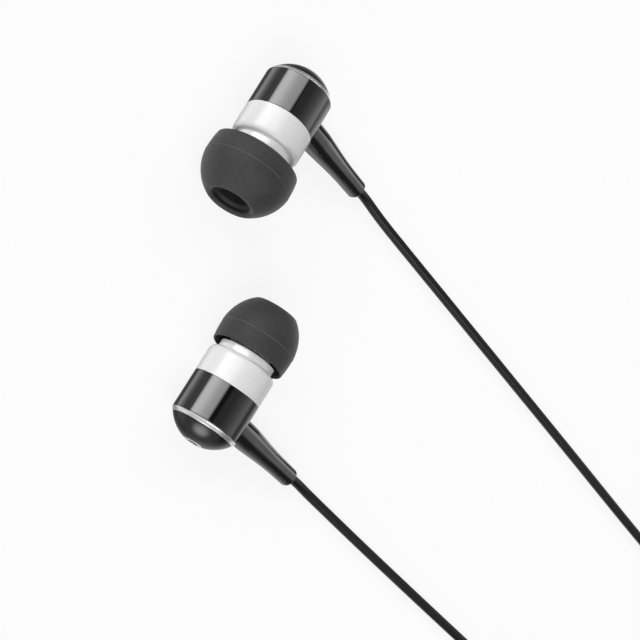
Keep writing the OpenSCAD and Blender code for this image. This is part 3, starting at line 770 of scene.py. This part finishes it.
def make_stem(side, matrix, shift):
    """The tapered stem from inside the barrel to its rounded end with the cord's hole."""
    rings = []
    for k in range(STEM_STEPS + 1):
        place = -STEM_SINK + (1 + STEM_SINK) * (k / STEM_STEPS)
        width = STEM_END_W + (STEM_ROOT_W - STEM_END_W) * flare_at(max(place, 0))
        rings.append((BARREL_R + (STEM_REACH - BARREL_R) * place, width, 0))
    last = rings[-1][0]
    round_start = last - STEM_END_ROUND
    rings[-1] = (round_start, STEM_END_W, 0)
    for angle in range(15, 91, 15):
        x = round_start + STEM_END_ROUND * math.sin(math.radians(angle))
        rings.append((x, STEM_END_W, angle))
    points, starts = [], []
    for x, width, angle in rings:
        pull = STEM_END_ROUND * (1 - math.cos(math.radians(angle)))
        section = stem_section(width * STEM_FULLNESS - 2 * pull)
        starts.append(len(points))
        points += [(x, y + shift[0], z + shift[1]) for y, z in section]
    hole = CORD_R + 0.03
    for x in (last, last - 1.5):
        starts.append(len(points))
        for k in range(STEM_SIDES):
            angle = 2 * math.pi * k / STEM_SIDES
            points.append((x, hole * math.cos(angle), hole * math.sin(angle)))
    piece = mesh_piece(f"{side}_stem_moulded", points, join_rings(starts, STEM_SIDES), matrix)
    finish_piece(piece, "stem_black", "headset", f"{side}_stem")


for side_name, facts in SIDES.items():
    for make_part in (make_barrel, make_shell, make_trim_ring, make_cap, make_eyelet, make_neck):
        make_part(side_name, facts["place"])
    make_ear_tip(side_name, facts)
    make_stem(side_name, facts["stem"], facts["stem_shift"])

# ------------------------------------------------------------------ cords

TURN_PITCH = CORD_D + 0.45
COIL_STEPS = 24
# Straight runs: at a coil's end, before and after it, out of a stem and out of a fitting
STRAIGHT_END = 1.5
RUN_IN = 4
RUN_OUT = 1.5
STEM_RUN = 2.4
FITTING_RUN = 2
# Each coil's centre on the table, its mean radius, turns and layers, the bearing of its first
# point in degrees and the sense of its winding: 1 is anticlockwise
COILS = {
    "left": {"centre": (27.62, 99.26), "mean_r": 7.55, "turns": 5 + 1 / COIL_STEPS, "layers": 2,
             "start": -32.3, "sense": 1},
    "right": {"centre": (62.32, 54.86), "mean_r": 7.95, "turns": 5 + 1 / COIL_STEPS, "layers": 2,
              "start": 151, "sense": -1},
    "main": {"centre": (71.42, 87.26), "mean_r": 7.85, "turns": 16.25, "layers": 4,
             "start": 90, "sense": -1},
}


def coil_point(coil, turn):
    """Centreline of a coil that spirals in and out, climbing a layer within half a turn."""
    per_layer = coil["turns"] / coil["layers"]
    outer = coil["mean_r"] + TURN_PITCH * per_layer / 2
    layer = min(int(turn / per_layer), coil["layers"] - 1)
    share = turn / per_layer - layer
    inward = share if layer % 2 == 0 else 1 - share
    radius = outer - TURN_PITCH * per_layer * inward
    height = CORD_R
    for step in range(1, coil["layers"]):
        u = min(max((turn - step * per_layer) * 2 + 0.5, 0), 1)
        height += TURN_PITCH * u * u * (3 - 2 * u)
    angle = math.radians(coil["start"] + coil["sense"] * 360 * turn)
    return Vector((coil["centre"][0] + radius * math.cos(angle),
                   coil["centre"][1] + radius * math.sin(angle), height))


def coil_heading(coil, turn):
    angle = math.radians(coil["start"] + coil["sense"] * 360 * turn)
    return coil["sense"] * Vector((-math.sin(angle), math.cos(angle), 0))


def coil_route(coil):
    count = int(coil["turns"] * COIL_STEPS + 0.01)
    return [coil_point(coil, min(k / COIL_STEPS, coil["turns"])) for k in range(count + 1)]


def coil_entry(coil):
    """The straight run into a coil."""
    heading = coil_heading(coil, 0)
    start = coil_point(coil, 0) - STRAIGHT_END * heading
    return [start - RUN_IN * heading, start]


def coil_exit(coil):
    """The straight run out of a coil."""
    heading = coil_heading(coil, coil["turns"])
    leave = coil_point(coil, coil["turns"])
    return [leave + STRAIGHT_END * heading, leave + (STRAIGHT_END + RUN_OUT) * heading]


def stem_end(side):
    matrix = SIDES[side]["stem"]
    point = matrix @ Vector((STEM_REACH, 0, 0))
    heading = (matrix.to_3x3() @ Vector((1, 0, 0))).normalized()
    return point, heading


def on_floor(points):
    return [Vector((x, y, CORD_R)) for x, y in points]


# The splitter lies along X and the plug points along -Y. The leads' points on the floor are
# (x, y), and the points between a coil and a fitting are (x, y, height).
SPLITTER_BACK = Vector((50.92, 98.86, SPLITTER_H / 2))
SPLITTER_FRONT = SPLITTER_BACK + Vector((SPLITTER_LEN, 0, 0))
LEAD_GAP = Vector((0, CORD_R + 0.2, 0))
PLUG_TOP = Vector((82.42, 70.86, GRIP_D / 2))
LEAD_FLOOR = {
    "left": [(-9.78, 21.26), (-0.58, 35.86), (8.62, 50.46), (17.82, 65.06), (26.82, 79.26)],
    "right": [(29.92, 17.36), (34.82, 26.06), (40.12, 35.66), (45.42, 45.36)],
}
LEAD_TAIL = {
    "left": [(39.62, 100.96, 1.8), (43.02, 101.16, 0.8), (46.62, 100.16, 1.1)],
    "right": [(58.22, 66.96, 1.6), (57.82, 71.36, 0.8), (55.02, 77.96, 0.7), (51.32, 84.96, 0.7),
              (48.02, 90.76, 0.7), (47.12, 94.96, 0.8)],
}
MAIN_TAIL = [(82.92, 79.56, 5), (82.52, 75.36, 3.7)]
ROUTE_STEPS = 4


def smooth_route(points):
    """A curve through all the points, kept above the table."""
    out = []
    ends = [2 * points[0] - points[1]] + points + [2 * points[-1] - points[-2]]
    for a, b, c, d in zip(ends, ends[1:], ends[2:], ends[3:]):
        for k in range(ROUTE_STEPS):
            t = k / ROUTE_STEPS
            bend = 2 * a - 5 * b + 4 * c - d
            twist = 3 * b - a - 3 * c + d
            out.append(b + t / 2 * ((c - a) + t * (bend + t * twist)))
    out.append(points[-1].copy())
    for p in out:
        p.z = max(p.z, CORD_R)
    return out


def lead_route(side):
    """From a stem's end over the table, round the coil and into the splitter's back."""
    coil = COILS[side]
    point, heading = stem_end(side)
    inlet = SPLITTER_BACK + (LEAD_GAP if side == "left" else -LEAD_GAP)
    first = [point, point + STEM_RUN * heading] + on_floor(LEAD_FLOOR[side]) + coil_entry(coil)
    tail = [Vector(p) for p in LEAD_TAIL[side]]
    last = coil_exit(coil) + tail + [inlet - Vector((FITTING_RUN, 0, 0)), inlet]
    return smooth_route(first) + coil_route(coil) + smooth_route(last)


def main_route():
    """From the splitter's front round the coil and into the plug's relief."""
    coil = COILS["main"]
    first = [SPLITTER_FRONT, SPLITTER_FRONT + Vector((FITTING_RUN, 0, 0))] + coil_entry(coil)
    tail = [Vector(p) for p in MAIN_TAIL]
    last = coil_exit(coil) + tail + [PLUG_TOP + Vector((0, FITTING_RUN, 0)), PLUG_TOP]
    return smooth_route(first) + coil_route(coil) + smooth_route(last)


# ------------------------------------------------------------------ plug and splitter

# The plug's own Z axis runs from its relief to its tip
PLUG_LAY = Matrix.Translation(PLUG_TOP) @ rotation(90, "X")
RELIEF_RIBS = 4
BAND_LEN = 0.6
RING_CONTACT_LEN = 2.4
TIP_CONTACT_LEN = 3.4
CONTACT_BORE = 0.73
# The splitter's form: places from its back and the change of its width there. Past its
# rounded back, its height changes by this share of that.
SPLITTER_STATIONS = (
    (0.0, -0.9), (0.06, -0.5), (0.2, -0.2), (0.45, -0.05), (0.8, 0), (2.5, 0), (4.95, -0.15),
    (6.5, -0.45), (8.0, -0.85), (9.4, -1.3), (10.3, -1.62), (10.7, -1.85), (10.9, -2.1), (10.98, -2.5),
)
SPLITTER_BACK_END = 1
SPLITTER_FLATNESS = 0.45
SPLITTER_SIDES = 96
SPLITTER_ROUNDNESS = 0.62
PARTING_DEPTH = 0.06


def make_relief():
    """Ribs round the cord that widen towards the grip."""
    bore = CORD_R + 0.03
    inner_bore = 0.4
    root, end = GRIP_D / 2 - 0.9, CORD_R + 0.6
    rib = RELIEF_LEN / RELIEF_RIBS
    corners = [(bore, 0.1, 0)]
    for i in range(RELIEF_RIBS):
        low, high = i * rib, (i + 1) * rib
        r = end + (root - end) * i / (RELIEF_RIBS - 1)
        corners += [
            (r - 0.05, low + 0.04, 0.08),
            (r, low + 0.2, 0.15),
            (r, high - 0.5, 0.12),
            (r - 0.32, high - 0.36, 0.08),
            (r - 0.32, high, 0.08),
        ]
    corners += [(inner_bore, RELIEF_LEN - 0.02, 0), (inner_bore, 1.2, 0), (bore, 1.0, 0)]
    piece = turn("plug_relief_ribbed", corners, PLUG_LAY, segments=96)
    return finish_piece(piece, "moulded_black", "headset", "plug_relief")


def make_grip():
    """A slightly waisted grip with fine grooves round its middle."""
    grip = GRIP_D / 2
    bore = 0.5
    waist = 0.35
    steps = 20
    back, front = RELIEF_LEN + 0.02, RELIEF_LEN + GRIP_LEN
    corners = [(bore, back, 0), (grip - 0.9, back, 0.05), (grip - 0.25, back + 0.38, 0.25)]
    for i in range(1, steps):
        t = i / steps
        z = back + 1.0 + (GRIP_LEN - 2.2) * t
        r = grip - waist * math.sin(math.pi * t)
        if 0.28 < t < 0.72:
            floor = r - 0.14
            corners += [(r, z - 0.22, 0.05), (floor, z - 0.12, 0.05)]
            corners += [(floor, z + 0.12, 0.05), (r, z + 0.22, 0.05)]
        else:
            corners.append((r, z, 0.1))
    corners += [(grip - 0.25, front - 0.4, 0.25), (grip - 0.9, front, 0.05), (bore, front, 0)]
    piece = turn("plug_grip_grooved", corners, PLUG_LAY, segments=128)
    return finish_piece(piece, "moulded_black", "headset", "plug_grip")


def make_contact(name, corners, closed=True):
    piece = turn(f"plug_{name}_turned", corners, PLUG_LAY, closed, segments=96)
    return finish_piece(piece, "contact_metal", "headset", f"plug_{name}")


def make_band(number, back, *nodes):
    """An insulating band between two contacts."""
    r = PIN_D / 2 - 0.02
    low, high = back + 0.01, back + BAND_LEN - 0.01
    corners = [(CONTACT_BORE, low, 0), (r, low, 0.03), (r, high, 0.03), (CONTACT_BORE, high, 0)]
    piece = turn(f"plug_band_{number}", corners, PLUG_LAY, segments=96)
    return finish_piece(piece, "basket_plastic", "headset", *nodes)


def make_pin():
    """The pin: a sleeve with its collar, a ring and a waisted tip, parted by two bands."""
    pin = PIN_D / 2
    bore = CONTACT_BORE
    foot = RELIEF_LEN + GRIP_LEN + 0.02
    tip_back = foot + PIN_LEN - TIP_CONTACT_LEN
    ring_end = tip_back - BAND_LEN
    ring_back = ring_end - RING_CONTACT_LEN
    sleeve_end = ring_back - BAND_LEN
    collar, collar_end = pin + 0.5, foot + 0.8
    sleeve = [
        (bore, foot, 0),
        (collar, foot, 0.05),
        (collar, collar_end - 0.1, 0.1),
        (collar - 0.1, collar_end, 0.03),
        (pin, collar_end, 0.05),
        (pin, sleeve_end, 0.06),
        (bore, sleeve_end, 0),
    ]
    ring = [(bore, ring_back, 0), (pin, ring_back, 0.06), (pin, ring_end, 0.06), (bore, ring_end, 0)]
    waist = pin - 0.5
    tip = [
        (0, tip_back, 0),
        (pin, tip_back, 0.05),
        (pin, tip_back + 0.3, 0.2),
        (waist, tip_back + 1, 0.15),
        (waist, tip_back + 1.25, 0.15),
        (pin, tip_back + 1.85, 0.12),
        (pin, tip_back + 2.05, 0.12),
        (0.55, tip_back + 3.25, 0.2),
        (0, tip_back + TIP_CONTACT_LEN, 0),
    ]
    return [
        make_contact("sleeve", sleeve),
        make_contact("ring", ring),
        make_contact("tip", tip, closed=False),
        make_band(0, sleeve_end, "plug_insulators"),
        make_band(1, ring_end),
    ]


def make_splitter():
    """A flattened, tapered moulding with rounded ends and a fine parting line."""
    points, starts = [], []
    for x, change in SPLITTER_STATIONS:
        width = SPLITTER_W + change
        height = SPLITTER_H + change * (SPLITTER_FLATNESS if x > SPLITTER_BACK_END else 1)
        starts.append(len(points))
        for k in range(SPLITTER_SIDES):
            angle = 2 * math.pi * k / SPLITTER_SIDES
            c, d = math.cos(angle), math.sin(angle)
            y = math.copysign(abs(c) ** SPLITTER_ROUNDNESS, c) * width / 2
            z = math.copysign(abs(d) ** SPLITTER_ROUNDNESS, d) * height / 2
            if k in (0, SPLITTER_SIDES // 2):
                y -= math.copysign(PARTING_DEPTH, c)
            points.append((x, y, z))
    back = list(range(SPLITTER_SIDES))[::-1]
    front = list(range(starts[-1], starts[-1] + SPLITTER_SIDES))
    faces = [back, front] + join_rings(starts, SPLITTER_SIDES)
    piece = mesh_piece("splitter_moulded", points, faces, Matrix.Translation(SPLITTER_BACK))
    return finish_piece(piece, "moulded_black", "headset", "splitter")


def make_cord(name, points, nodes):
    """A round cord along the points, as a curve of one spline with closed ends."""
    curve = bpy.data.curves.new(name, "CURVE")
    curve.dimensions = "3D"
    curve.bevel_depth = CORD_R * MM
    curve.bevel_resolution = 5
    curve.resolution_u = 1
    curve.use_fill_caps = True
    spline = curve.splines.new("POLY")
    spline.points.add(len(points) - 1)
    for target, p in zip(spline.points, points):
        target.co = (*(p * MM), 1)
    spline.use_smooth = True
    piece = bpy.data.objects.new(name, curve)
    bpy.context.scene.collection.objects.link(piece)
    return finish_piece(piece, "cord_jacket", "headset", *nodes)


plug_pieces = [make_relief(), make_grip()] + make_pin()
splitter = make_splitter()
for side_name in SIDES:
    nodes = [f"{side_name}_lead", f"{side_name}_lead_coil", f"{side_name}_lead_end"]
    lead = make_cord(f"{side_name}_lead_jacket", lead_route(side_name), nodes)
nodes = ["main_cord", "main_cord_coil", "main_cord_end"]
main_cord = make_cord("main_cord_jacket", main_route(), nodes)

# ------------------------------------------------------------------ camera

AIM = Vector((4.7, 12.89, 0)) * MM
CAMERA_DISTANCE = 310.5 * MM
CAMERA_ELEVATION = 53.98
PICTURE_TURN = 101.26

camera_data = bpy.data.cameras.new("camera")
camera_data.sensor_width = 36
camera_data.lens = 123.75
camera_data.clip_start = 0.01
camera_data.clip_end = 20
camera = bpy.data.objects.new("camera", camera_data)
bpy.context.scene.collection.objects.link(camera)
camera.matrix_world = (
    Matrix.Translation(AIM)
    @ rotation(90 - CAMERA_ELEVATION, "X")
    @ rotation(PICTURE_TURN, "Z")
    @ Matrix.Translation((0, 0, CAMERA_DISTANCE))
)
bpy.context.scene.camera = camera

# ------------------------------------------------------------------ stage and studio

FLOOR_R = 2000
FLOOR_DROP = 0.02
# The share of plain white in the floor, as the camera sees it
FLOOR_GLOW = 0.84


def show_camera(tree, output, lit, shown, share=1):
    """Mixes another shader into one for the camera alone, by a share."""
    seen = add(tree, "ShaderNodeLightPath")
    mix = add(tree, "ShaderNodeMixShader")
    factor = math_node(tree, "MULTIPLY", seen.outputs["Is Camera Ray"], share)
    tree.links.new(factor, mix.inputs["Fac"])
    tree.links.new(lit, mix.inputs[1])
    tree.links.new(shown, mix.inputs[2])
    tree.links.new(mix.outputs["Shader"], tree.nodes[output].inputs["Surface"])


def make_floor():
    """White paper that shows faint shadows and that no glossy part mirrors."""
    floor = lathe("floor", [(0, 0), (FLOOR_R, 0)], Matrix.Identity(4), closed=False)
    floor.location.z = -FLOOR_DROP * MM
    material, tree, shader = new_material(
        "floor_paper", Base_Color=grey(0.97), Roughness=0.9, Specular_IOR_Level=0.0
    )
    glow = add(tree, "ShaderNodeEmission", Color=grey(1), Strength=1.0).outputs["Emission"]
    show_camera(tree, "Material Output", shader.outputs["BSDF"], glow, FLOOR_GLOW)
    floor.data.materials.append(material)
    floor.visible_glossy = False


# The studio is described by the angle round the earphones' own axis and by the share of a
# direction along that axis, from -1 to 1. The angle is 0 at the horizon on the camera's side,
# 90 at the top and 180 at the far horizon, and it runs from STUDIO_START once round. A list
# gives the brightness at angles in degrees, as a multiple of the white backdrop's. No level
# is above STUDIO_PEAK.
STUDIO_AXIS = Vector((0.895, -0.44, 0.03)).normalized()
STUDIO_START = -95
STUDIO_PEAK = 6.0

# A broad softbox over the camera's side. Its two long edges run askew: the skew times the
# share along the axis is added to the angle there.
SOFTBOX = [
    (-95, 2.6), (0, 2.85), (8, 3.15), (15, 3.1), (23, 2.8), (30, 2.5), (37, 2.15), (45, 1.95),
    (52, 1.8), (60, 1.7), (265, 1.7),
]
SOFTBOX_WINDOW = (-0.62, 0.12)
SOFTBOX_LOW_SKEW = -4
SOFTBOX_LOW_EDGE = (-7, 0.5)
SOFTBOX_HIGH_SKEW = 24
SOFTBOX_HIGH_EDGE = (61.5, 53.5)

# Strip lights round the axis, and other ones at their rear end. Towards their front end, a
# notch without them is cut out on the far side.
STRIPS_START = [
    (-95, 0.15), (-84, 0.15), (-76, 0.18), (-69, 0.6), (-63, 1.03), (-57, 1.03), (-51, 0.8), (-45, 0.6),
    (-35, 0.32), (-26, 0.22), (-17, 0.26), (0, 0.3), (40, 0.1), (60, 0.01), (73, 0.01), (80, 0.12),
    (96, 0.12), (104, 0.15), (111, 0.2), (119, 0.25), (128, 0.32), (136, 0.42),
]
REAR_STRIPS = STRIPS_START + [
    (145, 0.6), (155, 0.95), (165, 1.35), (171, 0.8), (177, 0.5), (184, 0.8), (200, 1.15),
    (210, 1.1), (235, 0.7), (265, 0.15),
]
MAIN_STRIPS = STRIPS_START + [
    (145, 0.5), (153, 0.58), (159, 0.4), (167, 0.2), (174, 0.12), (184, 0.35), (195, 0.67),
    (208, 0.75), (235, 0.6), (265, 0.15),
]
STRIPS_WINDOW = (-0.66, 0.35)
REAR_STRIPS_EDGE = (-0.5, -0.36)
NOTCH = (127, 183)
NOTCH_EDGE = (0.02, 0.26)

# The room beyond the lights, round the middle of the axis and at its front and rear ends, and
# a round lamp at the front end
SIDE_ROOM = [
    (-95, 0.12), (-84, 0.3), (-70, 0.6), (-47, 0.7), (-20, 0.6), (20, 0.6), (55, 0.9), (62, 2.9),
    (118, 2.9), (130, 0.05), (177, 0.05), (190, 0.15), (207, 0.4), (222, 0.65), (232, 0.8),
    (245, 0.4), (265, 0.12),
]
FRONT_ROOM = [(-95, 0.36), (-52, 0.42), (-30, 0.45), (144, 0.45), (179, 0.36), (265, 0.36)]
FRONT_ROOM_EDGE = (0.69, 0.75)
REAR_ROOM = [
    (-95, 0.12), (-60, 0.12), (-32, 0.07), (2, 0.17), (43, 0.2), (62, 0.1), (88, 0.03),
    (129, 0.04), (163, 0.12), (240, 0.15), (265, 0.12),
]
REAR_ROOM_EDGE = (-0.82, -0.78)
END_LAMP = 4.6
END_LAMP_EDGE = (0.93, 0.995)


def part_along(tree, where, axis):
    """The share of the direction that lies along an axis."""
    dot = add(tree, "ShaderNodeVectorMath", operation="DOT_PRODUCT")
    dot.inputs[1].default_value = axis
    tree.links.new(where, dot.inputs[0])
    return dot.outputs["Value"]


def step(tree, value, start, end):
    """Rises from 0 to 1 while the value goes from start to end."""
    ramp = add(tree, "ShaderNodeMapRange", From_Min=start, From_Max=end)
    tree.links.new(value, ramp.inputs["Value"])
    return ramp.outputs["Result"]


def window(tree, value, limits, edge=0.03):
    """Is 1 between two limits and 0 outside, with soft edges."""
    low, high = limits
    rise = step(tree, value, low - edge, low + edge)
    fall = step(tree, value, high + edge, high - edge)
    return math_node(tree, "MULTIPLY", rise, fall)


def glow_round(tree, share, levels):
    """The brightness round the axis, from a list of angles and levels."""
    ramp = add(tree, "ShaderNodeValToRGB")
    stops = ramp.color_ramp
    stops.elements[1].position = 1
    for degrees, _ in levels[1:-1]:
        stops.elements.new((degrees - STUDIO_START) / 360)
    for element, (_, level) in zip(stops.elements, levels):
        element.color = grey(level / STUDIO_PEAK)
    tree.links.new(share, ramp.inputs["Fac"])
    return ramp.outputs["Color"]


def blend(tree, factor, under, over):
    """Lays a colour, or one level, over another by a factor."""
    mix = add(tree, "ShaderNodeMix", data_type="RGBA")
    first, second = mix.inputs[6], mix.inputs[7]
    tree.links.new(factor, mix.inputs["Factor"])
    tree.links.new(under, first)
    if isinstance(over, float):
        second.default_value = grey(over / STUDIO_PEAK)
    else:
        tree.links.new(over, second)
    return mix.outputs[2]


def make_studio(tree):
    """The light that falls on the part and that its gloss mirrors."""
    where = add(tree, "ShaderNodeTexCoord").outputs["Generated"]
    front = STUDIO_AXIS.cross(Vector((0, 0, 1))).normalized()
    up = front.cross(STUDIO_AXIS)
    angle = math_node(tree, "ARCTAN2", part_along(tree, where, up), part_along(tree, where, front))
    turns = math_node(tree, "MULTIPLY_ADD", angle, 1 / (2 * math.pi), 1 - STUDIO_START / 360)
    share = math_node(tree, "FRACT", turns)
    degrees = math_node(tree, "MULTIPLY_ADD", share, 360, STUDIO_START)
    along = part_along(tree, where, STUDIO_AXIS)

    low_edge = math_node(tree, "MULTIPLY_ADD", along, SOFTBOX_LOW_SKEW, degrees)
    low_edge = step(tree, low_edge, *SOFTBOX_LOW_EDGE)
    high_edge = math_node(tree, "MULTIPLY_ADD", along, SOFTBOX_HIGH_SKEW, degrees)
    high_edge = step(tree, high_edge, *SOFTBOX_HIGH_EDGE)
    softbox = math_node(tree, "MULTIPLY", low_edge, high_edge)
    softbox = math_node(tree, "MULTIPLY", softbox, window(tree, along, SOFTBOX_WINDOW))

    notch = window(tree, degrees, NOTCH, edge=2)
    notch = math_node(tree, "MULTIPLY", notch, step(tree, along, *NOTCH_EDGE))
    strips = math_node(tree, "SUBTRACT", 1, notch)
    strips = math_node(tree, "MULTIPLY", window(tree, along, STRIPS_WINDOW), strips)

    def glow(levels):
        return glow_round(tree, share, levels)

    light = blend(tree, step(tree, along, *REAR_ROOM_EDGE), glow(REAR_ROOM), glow(SIDE_ROOM))
    light = blend(tree, step(tree, along, *FRONT_ROOM_EDGE), light, glow(FRONT_ROOM))
    bands = blend(tree, step(tree, along, *REAR_STRIPS_EDGE), glow(REAR_STRIPS), glow(MAIN_STRIPS))
    light = blend(tree, strips, light, bands)
    light = blend(tree, softbox, light, glow(SOFTBOX))
    return blend(tree, step(tree, along, *END_LAMP_EDGE), light, END_LAMP)


def make_world():
    """The studio as the part sees it, behind a white backdrop for the camera."""
    world = bpy.data.worlds.new("studio")
    bpy.context.scene.world = world
    world.use_nodes = True
    tree = world.node_tree
    studio = tree.nodes["Background"]
    studio.inputs["Strength"].default_value = STUDIO_PEAK
    tree.links.new(make_studio(tree), studio.inputs["Color"])
    white = add(tree, "ShaderNodeBackground", Color=grey(1), Strength=1.0).outputs["Background"]
    show_camera(tree, "World Output", studio.outputs["Background"], white)


make_floor()
make_world()

view = bpy.context.scene.view_settings
view.view_transform = "Standard"

# ------------------------------------------------------------------ update

bpy.context.view_layer.update()
